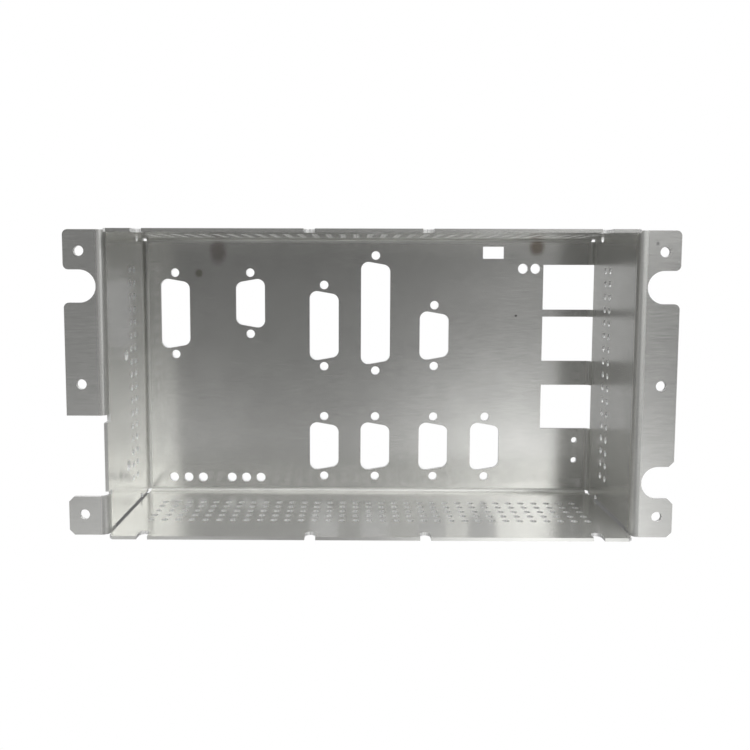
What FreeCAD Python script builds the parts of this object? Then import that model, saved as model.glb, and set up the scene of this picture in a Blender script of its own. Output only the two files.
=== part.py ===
"""Sheet metal chassis: a shallow open-fronted box folded from one sheet.

Frame: +Z up, the open front faces -Y, X runs along the width. The origin is on
the underside of the bottom wall, in the middle of the box's width and depth.
Heights are measured up from the underside of the bottom wall.
"""
import FreeCAD, Part
import os
from math import radians, tan

V = FreeCAD.Vector

# ---------------------------------------------------------------- the sheet
SHEET = 1.2                 # thickness
BEND = 1.8                  # inside radius of every fold
ROUND = BEND + SHEET        # outside radius of every fold

# ------------------------------------------------------------------ the box
WIDTH = 184.0               # over the side walls
HEIGHT = 106.4              # over the top and bottom walls
DEPTH = 53.0                # front rim to the back of the back panel
SEAM = 0.8                  # open seam between two walls, in front of its notch
TIGHT_SEAM = 0.15           # closed seam behind it
SEAM_FROM_RIM = 10.2        # the open seam starts this far behind the front rim
CORNER_RELIEF = 2.1         # square opening where three sides meet at the back
RIM_CHAMFER = 1.2           # front corners of the top and bottom walls

# ------------------------------------------------------- the mounting flanges
FLANGE_SETBACK = 3.7        # front rim to the flange's front face
FLANGE_REACH = 12.8         # how far it stands out from the side wall
FLANGE_SHORT = 0.2          # it stops this far inside the box's height
FLANGE_CORNER = 1.8         # corner rounds and chamfers
FLANGE_HOLE = 3.5
FLANGE_HOLE_IN = 5.4        # hole centres, in from the flange's outer edge
FLANGE_HOLE_END = 7.45      # end hole centres, from the box's top and bottom
FLANGE_HOLES = 3            # evenly spaced up each flange
SLOT_WIDTH = 11.3           # round-ended slots, open at the outer edge
SLOT_FROM_HOLE = 12.0       # slot centre, from the end hole towards the middle
GAP_TOP = 42.3              # left flange is missing from the lower slot to here
RELIEF_LOW = 1.8            # slits in the wall below and above that gap
RELIEF_HIGH = 2.6
RELIEF_OVERRUN = 0.3        # the slits run this far past the fold

# -------------------------------------------------------- the ventilation holes
VENT = 2.5                  # diameter
VENT_PITCH = 5.0
VENT_END_MARGIN = 9.8       # at least this much clear at the ends of a row
VENT_RIM_MARGIN = 15.0      # and between the rows and the front rim
SIDE_VENT_FOOT = 12.65      # lowest holes in the side walls
SIDE_VENT_COLUMNS = 2       # they follow the rearmost rows of the other walls

# ------------------------------------------------------ rim and edge notches
RIM_NOTCH = 3.8             # width, with a round end
RIM_NOTCH_DEPTH = 5.0
RIM_NOTCH_END = 11.3        # outer notches, in from the wall's side edges
RIM_NOTCH_MIDDLE = (-20.8, 19.1)
EDGE_NOTCH = 3.0            # round notches in the side walls, at the seams
EDGE_NOTCH_IN = 12.2        # from the back

# -------------------------------------- connector cut-outs in the back panel
CUTOUT_WIDTH = 11.9
CUTOUT_CORNER = 3.0
CUTOUT_SLOPE = 10.0         # degrees, at the two ends
SCREW_HOLE = 3.5
# kind: (cut-out length, distance between the two screw holes)
KINDS = {"small": (21.0, 24.99), "middle": (29.5, 33.32),
         "large": (43.0, 47.04)}
COLUMN_1 = 73.9             # columns, from the left end of the box
COLUMN_2 = 94.9
COLUMN_3 = 118.9
COLUMN_4 = 140.1
# upper connectors: (kind, from the left end, below the top, longer edge's side)
UPPER = [
    ("middle", 13.15, 31.5, -1),
    ("small", 43.8, 27.25, 1),
    ("middle", COLUMN_1, 36.35, -1),
    ("large", COLUMN_2, 31.2, -1),
    ("small", COLUMN_3, 40.3, -1),
]
LOWER_Z = 20.15             # row of small ones, one in each column

# ------------------------------------------- other openings in the back panel
PORT_WIDTH = 21.1           # square ports run this far in from the right end
PORT_HEIGHT = 18.2
PORT_BELOW_TOP = (20.4, 41.45, 69.45)
WINDOW_WIDTH = 8.6          # small rectangular window
WINDOW_HEIGHT = 4.9
WINDOW_FROM_RIGHT = 41.4
WINDOW_BELOW_TOP = 6.45
JACK_HOLE = 3.8             # lower left row: two groups of three
JACK_PITCH = 6.0
JACK_FROM_LEFT = 11.6
JACK_Z = 6.85
JACK_PLACES = (0, 1, 2, 4, 5, 6)
PAIR_HOLE = 4.1             # upper right pair, side by side
PAIR_PITCH = 5.05
PAIR_FROM_RIGHT = 24.3
PAIR_BELOW_TOP = 12.9
PIN_HOLE = 2.4              # lower right pair, one above the other
PIN_PITCH = 8.4
PIN_FROM_RIGHT = 6.9
PIN_Z = 14.65

# -------------------------------------------- larger holes in the left wall
WALL_HOLE = 4.0
WALL_HOLE_IN = 25.6         # from the front rim
WALL_HOLE_Z = (18.75, 60.75)

# ----------------------------------------------------------- derived places
side = WIDTH / 2                        # outer face of a side wall
front = -DEPTH / 2                      # front rim
back = DEPTH / 2                        # rear face of the back panel
flange_front = front + FLANGE_SETBACK
flange_edge = side + FLANGE_REACH
fold_y = flange_front + ROUND           # where the side wall starts to turn
hole_x = flange_edge - FLANGE_HOLE_IN
hole_pitch = (HEIGHT - 2 * FLANGE_HOLE_END) / (FLANGE_HOLES - 1)
hole_z = [FLANGE_HOLE_END + i * hole_pitch for i in range(FLANGE_HOLES)]
low_slot_z = hole_z[0] + SLOT_FROM_HOLE
high_slot_z = hole_z[-1] - SLOT_FROM_HOLE
wall_edge = side - SHEET - SEAM         # side edges of the top and bottom walls
wall_foot = SHEET + SEAM                # lower edge of the side walls
tight_edge = side - SHEET - TIGHT_SEAM  # the same two behind the notch
tight_foot = SHEET + TIGHT_SEAM
seam_start = front + SEAM_FROM_RIM
notch_y = back - EDGE_NOTCH_IN
gap_foot = low_slot_z - SLOT_WIDTH / 2
notch_out = wall_edge - RIM_NOTCH_END
notch_x = (-notch_out,) + RIM_NOTCH_MIDDLE + (notch_out,)
PAST = 1.0                              # cutters run this far past a face


def centred(span):
    """Places at the vent pitch that fit in a span, centred on zero."""
    gaps = int(span / VENT_PITCH)
    return [(i - gaps / 2) * VENT_PITCH for i in range(gaps + 1)]


vent_x = centred(2 * (wall_edge - VENT_END_MARGIN))
vent_y = centred(DEPTH - 2 * VENT_RIM_MARGIN)
side_vent_rows = int((HEIGHT - 2 * SIDE_VENT_FOOT) / VENT_PITCH) + 1
side_vent_z = [SIDE_VENT_FOOT + i * VENT_PITCH for i in range(side_vent_rows)]


def block(x0, x1, y0, y1, z0, z1):
    return Part.makeBox(x1 - x0, y1 - y0, z1 - z0, V(x0, y0, z0))


def fold(corners, centre, axis, angle):
    """A quarter turn of the sheet: its end section swept about the fold line."""
    section = Part.Face(Part.makePolygon(corners + [corners[0]]))
    return section.revolve(centre, axis, angle)


def drill(diameter, place, axis, length):
    return Part.makeCylinder(diameter / 2, length, place, axis)


def edges_along(solid, axis, places):
    """Straight edges of a solid along an axis (0, 1, 2), through given places."""
    found = []
    for edge in solid.Edges:
        ends = [v.Point for v in edge.Vertexes]
        if len(ends) != 2 or edge.Curve.TypeId != "Part::GeomLine":
            continue
        run = ends[1] - ends[0]
        if abs(abs(run[axis]) - run.Length) > 1e-6:
            continue
        across = [c for i, c in enumerate(ends[0]) if i != axis]
        if any(abs(across[0] - a) < 1e-4 and abs(across[1] - b) < 1e-4
               for a, b in places):
            found.append(edge)
    return found


# The back panel lies between the four fold lines.
panel = block(-side + ROUND, side - ROUND, back - SHEET, back,
              ROUND, HEIGHT - ROUND)


def long_wall(left_open, right_open):
    """The bottom wall with its fold, vents and rim notches. Its ends stand off
    the side walls by SEAM as far back as the two places given, then closer."""
    flat = block(-tight_edge, tight_edge, front, back - ROUND, 0, SHEET)
    flat = flat.cut(Part.makeCompound([
        block(-side, -wall_edge, front - PAST, left_open, -PAST, SHEET + PAST),
        block(wall_edge, side, front - PAST, right_open, -PAST, SHEET + PAST)]))
    flat = flat.makeChamfer(RIM_CHAMFER, edges_along(
        flat, 2, [(-wall_edge, front), (wall_edge, front)]))
    x0, x1 = -side + CORNER_RELIEF, side - CORNER_RELIEF
    turn = fold([V(x0, back - ROUND, 0), V(x1, back - ROUND, 0),
                 V(x1, back - ROUND, SHEET), V(x0, back - ROUND, SHEET)],
                V(0, back - ROUND, ROUND), V(1, 0, 0), 90)
    wall = flat.fuse(turn)
    cutters = []
    for x in vent_x:
        for y in vent_y:
            cutters.append(drill(VENT, V(x, y, -PAST), V(0, 0, 1),
                                 SHEET + 2 * PAST))
    for x in notch_x:
        end = front + RIM_NOTCH_DEPTH - RIM_NOTCH / 2
        cutters.append(block(x - RIM_NOTCH / 2, x + RIM_NOTCH / 2,
                             front - PAST, end, -PAST, SHEET + PAST))
        cutters.append(drill(RIM_NOTCH, V(x, end, -PAST), V(0, 0, 1),
                             SHEET + 2 * PAST))
    return wall.cut(Part.makeCompound(cutters))


def side_wall():
    """The right side wall with its back fold, front fold and whole flange."""
    stretches = [(fold_y, seam_start, FLANGE_SHORT),
                 (seam_start, notch_y, wall_foot),
                 (notch_y, back - ROUND, tight_foot)]
    wall = [block(side - SHEET, side, y0, y1, foot, HEIGHT - FLANGE_SHORT)
            for y0, y1, foot in stretches]
    b0, b1 = CORNER_RELIEF, HEIGHT - CORNER_RELIEF
    back_turn = fold([V(side - ROUND, back - SHEET, b0), V(side - ROUND, back, b0),
                      V(side - ROUND, back, b1), V(side - ROUND, back - SHEET, b1)],
                     V(side - ROUND, back - ROUND, 0), V(0, 0, 1), -90)
    f0, f1 = FLANGE_SHORT, HEIGHT - FLANGE_SHORT
    turn_x = side - SHEET + ROUND
    front_turn = fold([V(side - SHEET, fold_y, f0), V(side, fold_y, f0),
                       V(side, fold_y, f1), V(side - SHEET, fold_y, f1)],
                      V(turn_x, fold_y, 0), V(0, 0, 1), 90)
    flange = block(turn_x, flange_edge, flange_front, flange_front + SHEET, f0, f1)
    flange = flange.cut(Part.makeCompound([slot(high_slot_z), slot(low_slot_z)]))
    edge = flange_edge
    low, high = low_slot_z, high_slot_z
    half = SLOT_WIDTH / 2
    flange = flange.makeFillet(FLANGE_CORNER, edges_along(
        flange, 1, [(edge, f1), (edge, high + half), (edge, high - half)]))
    flange = flange.makeChamfer(FLANGE_CORNER, edges_along(
        flange, 1, [(edge, low + half), (edge, low - half), (edge, f0)]))
    cutters = [drill(FLANGE_HOLE, V(hole_x, flange_front - PAST, z),
                     V(0, 1, 0), SHEET + 2 * PAST) for z in hole_z]
    x = side - SHEET - PAST
    across = [(VENT, y, z) for y in vent_y[-SIDE_VENT_COLUMNS:]
              for z in side_vent_z]
    across += [(EDGE_NOTCH, notch_y, z) for z in (wall_foot, HEIGHT - SHEET)]
    cutters += [drill(d, V(x, y, z), V(1, 0, 0), SHEET + 2 * PAST)
                for d, y, z in across]
    solid = wall[0].multiFuse(wall[1:] + [back_turn, front_turn, flange])
    return solid.cut(Part.makeCompound(cutters))


def slot(z):
    """Cutter for a flange slot: round end on the line of holes, open outwards."""
    half = SLOT_WIDTH / 2
    y0, y1 = flange_front - PAST, flange_front + SHEET + PAST
    return drill(SLOT_WIDTH, V(hole_x, y0, z), V(0, 1, 0), y1 - y0).fuse(
        block(hole_x, flange_edge + PAST, y0, y1, z - half, z + half))


def left_gap():
    """What the left side lacks: the flange between the lower slot and GAP_TOP,
    with a slit into the fold at either end."""
    z0, z1 = gap_foot, GAP_TOP
    slit_y = fold_y + RELIEF_OVERRUN
    x0, x1 = -flange_edge - PAST, -side + SHEET + PAST
    y0 = flange_front - PAST
    gone = block(x0, x1, y0, fold_y, z0, z1)
    slits = [block(x0, x1, y0, slit_y, z0, z0 + RELIEF_LOW),
             block(x0, x1, y0, slit_y, z1 - RELIEF_HIGH, z1)]
    return gone.multiFuse(slits)


def left_edge():
    """The plain wall edge left standing in that gap, in line with the flange."""
    return block(-side, -side + SHEET, flange_front, fold_y,
                 gap_foot + RELIEF_LOW, GAP_TOP - RELIEF_HIGH)


def cutout(kind, x, z, longer):
    """Cutter for one connector: a D with rounded corners, and two screw holes."""
    length, screws = KINDS[kind]
    w, h = CUTOUT_WIDTH / 2, length / 2
    less = CUTOUT_WIDTH * tan(radians(CUTOUT_SLOPE))
    y = back - SHEET - PAST
    run = SHEET + 2 * PAST
    outline = [(x + longer * w, z - h), (x + longer * w, z + h),
               (x - longer * w, z + h - less), (x - longer * w, z - h + less)]
    points = [V(a, y, b) for a, b in outline]
    d = Part.Face(Part.makePolygon(points + [points[0]])).extrude(V(0, run, 0))
    d = d.makeFillet(CUTOUT_CORNER, edges_along(d, 1, outline))
    holes = [drill(SCREW_HOLE, V(x, y, z + s * screws / 2), V(0, 1, 0), run)
             for s in (-1, 1)]
    return [d] + holes


def panel_cutters():
    y, run = back - SHEET - PAST, SHEET + 2 * PAST
    cutters = []
    for kind, from_left, below_top, longer in UPPER:
        cutters += cutout(kind, from_left - side, HEIGHT - below_top, longer)
    for from_left in (COLUMN_1, COLUMN_2, COLUMN_3, COLUMN_4):
        cutters += cutout("small", from_left - side, LOWER_Z, -1)
    for below_top in PORT_BELOW_TOP:
        # through the fold as well, up to the flat of the right wall
        z = HEIGHT - below_top
        cutters.append(block(side - PORT_WIDTH, side + PAST,
                             back - ROUND, back + PAST,
                             z - PORT_HEIGHT / 2, z + PORT_HEIGHT / 2))
    x, z = side - WINDOW_FROM_RIGHT, HEIGHT - WINDOW_BELOW_TOP
    cutters.append(block(x - WINDOW_WIDTH / 2, x + WINDOW_WIDTH / 2, y, y + run,
                         z - WINDOW_HEIGHT / 2, z + WINDOW_HEIGHT / 2))
    holes = [(JACK_HOLE, JACK_FROM_LEFT - side + i * JACK_PITCH, JACK_Z)
             for i in JACK_PLACES]
    holes += [(PAIR_HOLE, side - PAIR_FROM_RIGHT - i * PAIR_PITCH,
               HEIGHT - PAIR_BELOW_TOP) for i in range(2)]
    holes += [(PIN_HOLE, side - PIN_FROM_RIGHT, PIN_Z + i * PIN_PITCH)
              for i in range(2)]
    cutters += [drill(d, V(x, y, z), V(0, 1, 0), run) for d, x, z in holes]
    return cutters


# The lower left seam is open right to the corner, the lower right one to its
# notch; at the top the long wall fits closely between the two side walls.
bottom = long_wall(back, notch_y)
top = long_wall(seam_start, seam_start).mirror(V(0, 0, HEIGHT / 2), V(0, 0, 1))
right = side_wall()
left = right.mirror(V(0, 0, 0), V(1, 0, 0)).cut(left_gap()).fuse(left_edge())
left = left.cut(Part.makeCompound(
    [drill(WALL_HOLE, V(-side - PAST, front + WALL_HOLE_IN, z), V(1, 0, 0),
           SHEET + 2 * PAST) for z in WALL_HOLE_Z]))

chassis = panel.multiFuse([bottom, top, right, left])
chassis = chassis.cut(Part.makeCompound(panel_cutters())).removeSplitter()

os.makedirs("parts", exist_ok=True)
chassis.exportStep("parts/chassis.step")
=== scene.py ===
"""Looks for the sheet metal chassis: one cut and folded sheet of bright aluminium."""
import math

import bpy
from mathutils import Matrix

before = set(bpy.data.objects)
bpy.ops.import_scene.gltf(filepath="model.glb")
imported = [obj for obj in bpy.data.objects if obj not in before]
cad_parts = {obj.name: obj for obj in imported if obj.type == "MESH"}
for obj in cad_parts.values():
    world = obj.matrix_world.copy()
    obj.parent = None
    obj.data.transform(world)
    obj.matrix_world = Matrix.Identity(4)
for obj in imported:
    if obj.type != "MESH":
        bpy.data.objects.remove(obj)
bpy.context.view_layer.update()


# ---------------------------------------------------------------------------
# Camera: a short lens close to the open front, a little above the middle of
# the box and left of it, so that the bottom wall shows more than the top one.
camera_place = (-0.0052, -0.2651, 0.0918)
turned_left, tilted_up, rolled = (math.radians(a) for a in (0.31, -4.29, -0.15))
level_view = math.radians(90)
camera_data = bpy.data.cameras.new("camera")
camera_data.lens = 34.2
camera_data.sensor_width = 36.0
camera_data.shift_x = 0.0309
camera_data.shift_y = -0.0654
camera_data.clip_start = 0.01
camera_data.clip_end = 20.0
camera = bpy.data.objects.new("camera", camera_data)
camera.matrix_world = (
    Matrix.Translation(camera_place)
    @ Matrix.Rotation(turned_left, 4, "Z")
    @ Matrix.Rotation(tilted_up, 4, "X")
    @ Matrix.Rotation(rolled, 4, "Y")
    @ Matrix.Rotation(level_view, 4, "X")
)
bpy.context.scene.collection.objects.link(camera)
bpy.context.scene.camera = camera


# ---------------------------------------------------------------------------
# The chassis: one sheet of bright rolled aluminium, cut, punched and folded.
# Its loose faces are joined so that the folds shade as smooth quarter turns.
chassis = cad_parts["chassis"]
same_point = 0.000002                   # metres
sharpest_round = math.radians(35)       # edges sharper than this stay crisp

join = chassis.modifiers.new("join", "WELD")
join.merge_threshold = same_point
rounding = bpy.data.node_groups.new("smooth_folds", "GeometryNodeTree")
rounding.interface.new_socket("Geometry", in_out="INPUT",
                              socket_type="NodeSocketGeometry")
rounding.interface.new_socket("Geometry", in_out="OUTPUT",
                              socket_type="NodeSocketGeometry")
nodes, links = rounding.nodes, rounding.links
angle = nodes.new("GeometryNodeInputMeshEdgeAngle")
gentle = nodes.new("ShaderNodeMath")
gentle.operation = "LESS_THAN"
gentle.inputs[1].default_value = sharpest_round
links.new(angle.outputs["Unsigned Angle"], gentle.inputs[0])
faces = nodes.new("GeometryNodeSetShadeSmooth")
links.new(nodes.new("NodeGroupInput").outputs[0], faces.inputs["Geometry"])
edges = nodes.new("GeometryNodeSetShadeSmooth")
edges.domain = "EDGE"
links.new(faces.outputs[0], edges.inputs["Geometry"])
links.new(gentle.outputs[0], edges.inputs["Shade Smooth"])
links.new(edges.outputs[0], nodes.new("NodeGroupOutput").inputs[0])
smooth = chassis.modifiers.new("smooth_folds", "NODES")
smooth.node_group = rounding
flat = chassis.modifiers.new("flat_walls", "WEIGHTED_NORMAL")
flat.keep_sharp = True


# ---------------------------------------------------------------------------
# The sheet's finish: mirror-like across its rolling grain, which runs along the
# width and turns with the sheet at each fold. Folds are stretched duller and are
# painted darker as shade, and cut edges are matt and painted light as a highlight.
grain_fineness = 3000
grain_length = 0.06         # 1 would be as short as it is wide
grain_gloss = (0.19, 0.24)
grain_tone = (0.745, 0.895)
cloud_fineness = 90
cloud_tone = (0.96, 1.04)
# the first value is painted shade: it darkens the colour of the folds
painted_fold_shade, fold_dullness = 0.9, 0.5
fold_crispness = 1.6
sheet_tint = (1.0, 1.0, 0.968)
# the cut edges' colour is bare metal painted near white, as a highlight on the rims
edge_and_highlight_tint = (0.95, 0.95, 0.94, 1)
sheet_metal, edge_metal = 0.8, 0.35

sheet = bpy.data.materials.new("rolled_sheet")
sheet.use_nodes = True
nodes, links = sheet.node_tree.nodes, sheet.node_tree.links
nodes.clear()


def wire(node, values):
    """Give each input of a node its value: a link, or a plain number or triple."""
    for socket, value in zip(node.inputs, values):
        if isinstance(value, bpy.types.NodeSocket):
            links.new(value, socket)
        else:
            socket.default_value = value


def number(operation, *values):
    """One sum on plain numbers, in the tree that is being built."""
    node = nodes.new("ShaderNodeMath")
    node.operation = operation
    wire(node, values)
    return node.outputs[0]


def vector(operation, *values):
    """One sum on points or directions. A length or a dot product is a number."""
    node = nodes.new("ShaderNodeVectorMath")
    node.operation = operation
    wire(node, values)
    is_number = operation in ("LENGTH", "DOT_PRODUCT")
    return node.outputs["Value" if is_number else "Vector"]


def split(source):
    """The X, Y and Z of a point or direction."""
    node = nodes.new("ShaderNodeSeparateXYZ")
    links.new(source, node.inputs[0])
    return node.outputs


def spread(value, before, after):
    """Stretch the range `before` over the range `after`."""
    node = nodes.new("ShaderNodeMapRange")
    wire(node, (value, *before, *after))
    return node


def scaled(source, factor):
    """A point or colour times one number."""
    node = nodes.new("ShaderNodeVectorMath")
    node.operation = "SCALE"
    wire(node, (source,))
    if isinstance(factor, bpy.types.NodeSocket):
        links.new(factor, node.inputs["Scale"])
    else:
        node.inputs["Scale"].default_value = factor
    return node.outputs["Vector"]


def blend(kind, factor, first, second):
    """Mix two numbers, triples or colours."""
    slot = {"FLOAT": 2, "VECTOR": 4, "RGBA": 6}[kind]
    result = {"FLOAT": 0, "VECTOR": 1, "RGBA": 2}[kind]
    node = nodes.new("ShaderNodeMix")
    node.data_type = kind
    links.new(factor, node.inputs["Factor"])
    for socket, value in ((node.inputs[slot], first), (node.inputs[slot + 1], second)):
        if isinstance(value, bpy.types.NodeSocket):
            links.new(value, socket)
        else:
            socket.default_value = value
    return node.outputs[result]


surface = nodes.new("ShaderNodeOutputMaterial")
metal = nodes.new("ShaderNodeBsdfPrincipled")
metal.inputs["Anisotropic"].default_value = 0.3
links.new(metal.outputs["BSDF"], surface.inputs["Surface"])
place = nodes.new("ShaderNodeTexCoord")

# the creases look tighter than a plain quarter turn: the shading leans towards
# the nearest flat wall, by raising each part of the normal to a power
parts = split(vector("ABSOLUTE", place.outputs["Normal"]))
raised = nodes.new("ShaderNodeCombineXYZ")
for axis in "XYZ":
    links.new(number("POWER", parts[axis], fold_crispness), raised.inputs[axis])
leaning = vector("MULTIPLY", raised.outputs[0], place.outputs["Normal"])
normal = vector("NORMALIZE", leaning)
turned = nodes.new("ShaderNodeVectorTransform")
turned.vector_type = "NORMAL"
turned.convert_from = "OBJECT"
turned.convert_to = "WORLD"
links.new(normal, turned.inputs[0])
links.new(turned.outputs[0], metal.inputs["Normal"])

# the gloss is drawn out square to the grain; the nudge is for the flat floor and
# roof of the box, where there is no upward direction to be square to
up = (0, 0, 1)
nudge = (0, 0.001, 0)
along = vector("CROSS_PRODUCT", up, normal)
across = vector("CROSS_PRODUCT", normal, along)
unit = vector("NORMALIZE", vector("ADD", across, nudge))
links.new(unit, metal.inputs["Tangent"])

# how far the surface is from facing straight along X, Y or Z: 1 on the folds
straight = number("MAXIMUM", number("MAXIMUM", parts["X"], parts["Y"]), parts["Z"])
folded = spread(straight, (0.999, 0.96), (0, 1)).outputs[0]

# cut edges are the faces inside the sheet's thickness: one thin slab per wall,
# given as its middle and half size, in metres, with left and right folded together
where = split(place.outputs["Object"])
point = nodes.new("ShaderNodeCombineXYZ")
links.new(number("ABSOLUTE", where["X"]), point.inputs["X"])
links.new(where["Y"], point.inputs["Y"])
links.new(where["Z"], point.inputs["Z"])
slabs = [
    ((0, 0.0259, 0.0532), (0.0889, 0.00058, 0.0501)),           # back panel
    ((0, -0.0015, 0.0006), (0.0907, 0.0250, 0.00058)),          # bottom wall
    ((0, -0.0015, 0.1058), (0.0907, 0.0250, 0.00058)),          # top wall
    ((0.0914, 0.00185, 0.0532), (0.00058, 0.02165, 0.0540)),    # side walls
    ((0.0994, -0.0222, 0.0532), (0.0056, 0.00058, 0.0540)),     # flanges
]
cut = 0.0
for middle, half in slabs:
    off = vector("ABSOLUTE", vector("SUBTRACT", point.outputs[0], middle))
    room = split(vector("SUBTRACT", half, off))
    least = number("MINIMUM", number("MINIMUM", room["X"], room["Y"]), room["Z"])
    cut = number("MAXIMUM", cut, number("GREATER_THAN", least, 0.0))

# rolling grain: long thin streaks along X, and along Y on the side walls
on_side = number("GREATER_THAN", parts["X"], 0.7)
stretch = blend("VECTOR", on_side, (grain_length, 1, 1), (1, grain_length, 1))
streaks = nodes.new("ShaderNodeTexNoise")
streaks.inputs["Scale"].default_value = grain_fineness
streaks.inputs["Detail"].default_value = 4
streaks.inputs["Roughness"].default_value = 0.8
links.new(vector("MULTIPLY", place.outputs["Object"], stretch),
          streaks.inputs["Vector"])
clouds = nodes.new("ShaderNodeTexNoise")
clouds.inputs["Scale"].default_value = cloud_fineness
clouds.inputs["Detail"].default_value = 5
clouds.inputs["Roughness"].default_value = 0.6
links.new(place.outputs["Object"], clouds.inputs["Vector"])

# the sheet's own colour, streaked and a little clouded, with painted shade that makes
# it greyer in the creases
usual = (0.3, 0.7)          # where the two noises spend most of their range
tone = spread(streaks.outputs["Fac"], usual, grain_tone).outputs[0]
haze = spread(clouds.outputs["Fac"], usual, cloud_tone).outputs[0]
painted_crease_shade = spread(folded, (0, 1), (1, painted_fold_shade)).outputs[0]
shade = number("MULTIPLY", number("MULTIPLY", tone, haze), painted_crease_shade)
colour = scaled(sheet_tint, shade)

# stains: three blotches, a speck, a smudge on the left wall and a dot on the right
# flange, each with its middle, half size, colour and strength; edges are ragged
raggedness = 0.0016
strayed = vector("ADD", place.outputs["Object"],
                 scaled(clouds.outputs["Color"], raggedness))
stains = [
    ((-0.0613, 0.0253, 0.1002), (0.0034, 0.0005, 0.0052), (0.30, 0.24, 0.22), 0.55),
    ((-0.0690, 0.0253, 0.0912), (0.0017, 0.0005, 0.0017), (0.28, 0.26, 0.17), 0.6),
    ((0.0681, 0.0253, 0.1024), (0.0032, 0.0005, 0.0036), (0.24, 0.18, 0.13), 0.75),
    ((0.0601, 0.0253, 0.0744), (0.0005, 0.0005, 0.0005), (0.05, 0.04, 0.04), 0.9),
    ((-0.0908, -0.0097, 0.0180), (0.0005, 0.0026, 0.0022), (0.4, 0.4, 0.4), 0.35),
    ((0.0967, -0.0228, 0.1018), (0.0006, 0.0005, 0.0006), (0.2, 0.2, 0.2), 0.6),
]
for middle, half, tint, strength in stains:
    moved = tuple(m + raggedness / 2 for m in middle)
    distance = vector("LENGTH", vector("DIVIDE", vector("SUBTRACT", strayed, moved),
                                       half))
    fade = spread(distance, (1.35, 0.45), (0, strength))
    fade.interpolation_type = "SMOOTHSTEP"
    colour = blend("RGBA", fade.outputs[0], colour, (*tint, 1))

# cut edges are bare metal, painted bright as a highlight on their rims
edge_colour = blend("RGBA", cut, colour, edge_and_highlight_tint)
links.new(edge_colour, metal.inputs["Base Color"])

# roughness: the grain varies it a little; folds are rougher
gloss = spread(streaks.outputs["Fac"], usual, grain_gloss).outputs[0]
links.new(blend("FLOAT", folded, gloss, fold_dullness), metal.inputs["Roughness"])
links.new(blend("FLOAT", cut, sheet_metal, edge_metal), metal.inputs["Metallic"])
chassis.data.materials.clear()
chassis.data.materials.append(sheet)


# ---------------------------------------------------------------------------
# Light: a few large soft lamps in a dim room, mostly on the right of the open
# front. Each is a compass direction (0 is behind the panel, 180 in front of it),
# a height in degrees, a tightness and a strength.
soft_lights = [
    (0, 5, 2, 0.4),         # dim room behind the box
    (180, 0, 4, 0.12),      # dim room in front of it
    (280, 20, 6, 1.2),      # window on the left
    (145, 45, 50, 12),      # lamp high on the right
    (180, 75, 20, 5.5),     # lamp overhead
    (160, 18, 80, 2.8),     # white wall on the right
    (165, -20, 80, 1.8),    # pale table top in front, on the right
    (200, -25, 50, 0.65),   # and on the left
]
world = bpy.data.worlds.new("studio")
bpy.context.scene.world = world
world.use_nodes = True
nodes, links = world.node_tree.nodes, world.node_tree.links
nodes.clear()
direction = nodes.new("ShaderNodeTexCoord").outputs["Generated"]
total = 0.0
for compass, height, tightness, strength in soft_lights:
    a, h = math.radians(compass), math.radians(height)
    aim = (math.sin(a) * math.cos(h), math.cos(a) * math.cos(h), math.sin(h))
    towards = vector("DOT_PRODUCT", direction, aim)
    soft = number("EXPONENT", number("MULTIPLY_ADD", towards, tightness, -tightness))
    total = number("MULTIPLY_ADD", soft, strength, total)
room = nodes.new("ShaderNodeBackground")
links.new(total, room.inputs["Color"])

# only the camera sees the plain pale backdrop; the box is lit by the room
white = (1, 1, 1, 1)
backdrop = nodes.new("ShaderNodeBackground")
backdrop.inputs["Color"].default_value = white
seen = nodes.new("ShaderNodeLightPath")
pick = nodes.new("ShaderNodeMixShader")
links.new(seen.outputs["Is Camera Ray"], pick.inputs["Fac"])
links.new(room.outputs[0], pick.inputs[1])
links.new(backdrop.outputs[0], pick.inputs[2])
output = nodes.new("ShaderNodeOutputWorld")
links.new(pick.outputs[0], output.inputs["Surface"])
bpy.context.scene.view_settings.view_transform = "Standard"


# ---------------------------------------------------------------------------
# Floor: plain and pale, as bright as the backdrop. It glows, is seen by the camera
# only, and takes no shadow.
floor_width, floor_drop = 6, 0.0004
bpy.ops.mesh.primitive_plane_add(size=floor_width, location=(0, 0, -floor_drop))
floor = bpy.context.object
floor.name = "floor"


def glowing(name, colour):
    """A plain material of one colour that needs no light."""
    material = bpy.data.materials.new(name)
    material.use_nodes = True
    tree = material.node_tree
    tree.nodes.clear()
    glow = tree.nodes.new("ShaderNodeEmission")
    glow.inputs["Color"].default_value = colour
    end = tree.nodes.new("ShaderNodeOutputMaterial")
    tree.links.new(glow.outputs[0], end.inputs["Surface"])
    return material


floor.data.materials.append(glowing("pale_floor", white))
floor.visible_diffuse = False
floor.visible_glossy = False
floor.visible_transmission = False
floor.visible_shadow = False


# ---------------------------------------------------------------------------
# The box's own shade on the floor under it, one plain dark tone, seen through the
# vents and seams of the bottom wall. The glowing floor can't show it. It stops
# behind the rim's notches, and is a little wider than the box for the seams.
shade_width, shade_depth = 0.1868, 0.0436
shade_back, shade_drop = 0.0043, 0.0002
shade_tone = (0.15, 0.15, 0.15, 1)
bpy.ops.mesh.primitive_plane_add(size=1, location=(0, shade_back, -shade_drop))
shade_below = bpy.context.object
shade_below.name = "shade_below"
shade_below.scale = (shade_width, shade_depth, 1)
shade_below.data.materials.append(glowing("shaded_floor", shade_tone))
shade_below.visible_shadow = False
